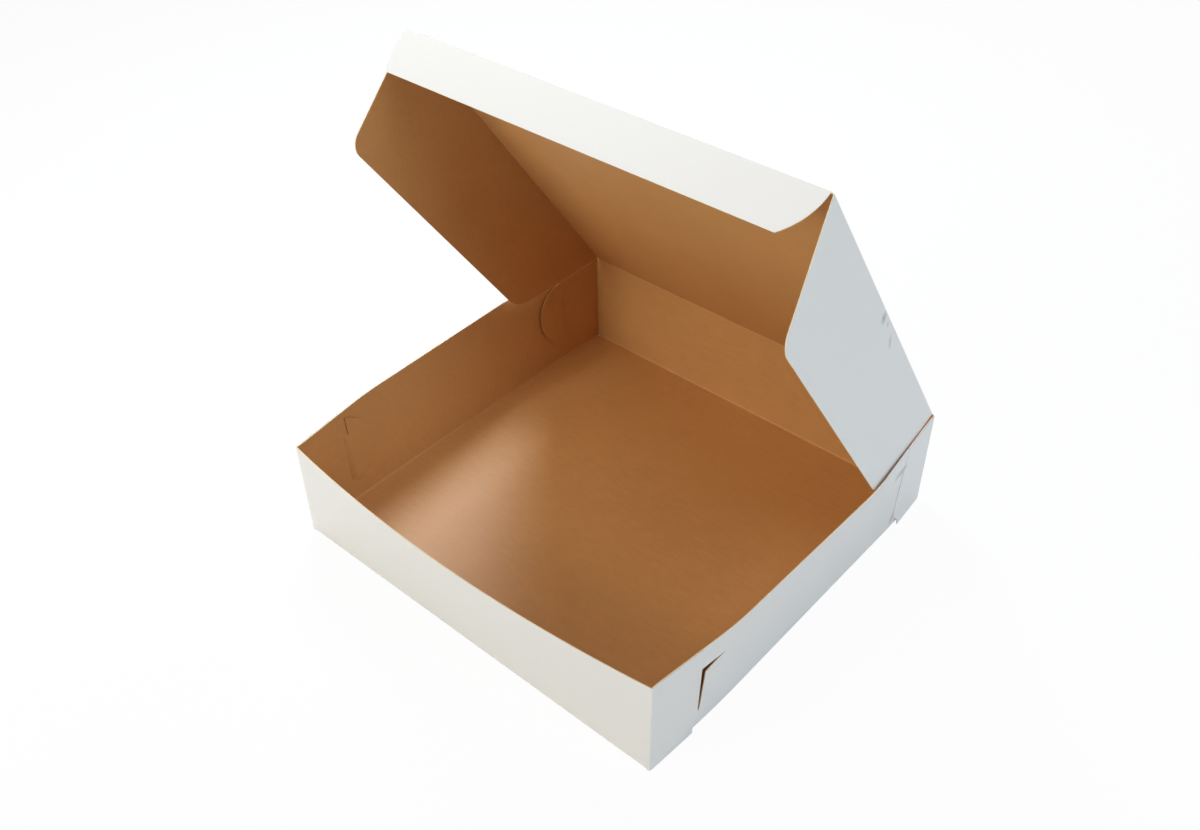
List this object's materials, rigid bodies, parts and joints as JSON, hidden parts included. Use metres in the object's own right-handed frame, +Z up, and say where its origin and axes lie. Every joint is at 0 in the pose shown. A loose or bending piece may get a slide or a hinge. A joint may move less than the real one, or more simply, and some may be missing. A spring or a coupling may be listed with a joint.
{
  "type": "bakery box",
  "caption": "Shallow square bakery box folded from one sheet of coated board, with lock corners and a hinged lid that has a front tuck flap and two deep side flaps.",
  "frame": {"origin": "middle of the tray's underside, on the table", "axes": "+Z up, +Y to the back where the lid hinges, +X to the right seen from the front"},
  "size_m": [0.2748, 0.2632, 0.2697],
  "materials": {
    "coated_board": "matte"
  },
  "bodies": {
    "tray": {"tray": "coated_board"},
    "lid": {"lid_panel": "coated_board"},
    "tuck_flap": {"front_tuck_flap": "coated_board"},
    "left_flap": {"left_lid_flap": "coated_board"},
    "right_flap": {"right_lid_flap": "coated_board"}
  },
  "joints": [
    {"name": "lid_hinge", "type": "hinge", "parent": "tray", "child": "lid", "pos_m": [0, 0.12675, 0.06383], "axis": [-1, 0, 0], "range_deg": [-55, 125]},
    {"name": "tuck_flap_fold", "type": "hinge", "parent": "lid", "child": "tuck_flap", "pos_m": [0, -0.01722, 0.26944], "axis": [1, 0, 0], "range_deg": [-85, 80]},
    {"name": "left_flap_fold", "type": "hinge", "parent": "lid", "child": "left_flap", "pos_m": [-0.126, 0.12675, 0.06383], "axis": [0, 0.5736, -0.8192], "range_deg": [-14, 31]},
    {"name": "right_flap_fold", "type": "hinge", "parent": "lid", "child": "right_flap", "pos_m": [0.126, 0.12675, 0.06383], "axis": [0, -0.5736, 0.8192], "range_deg": [-14, 31]}
  ],
  "couplings": [
    {"joint": "left_flap_fold", "follows": "lid_hinge", "ratio": 0.24},
    {"joint": "right_flap_fold", "follows": "lid_hinge", "ratio": 0.24}
  ]
}
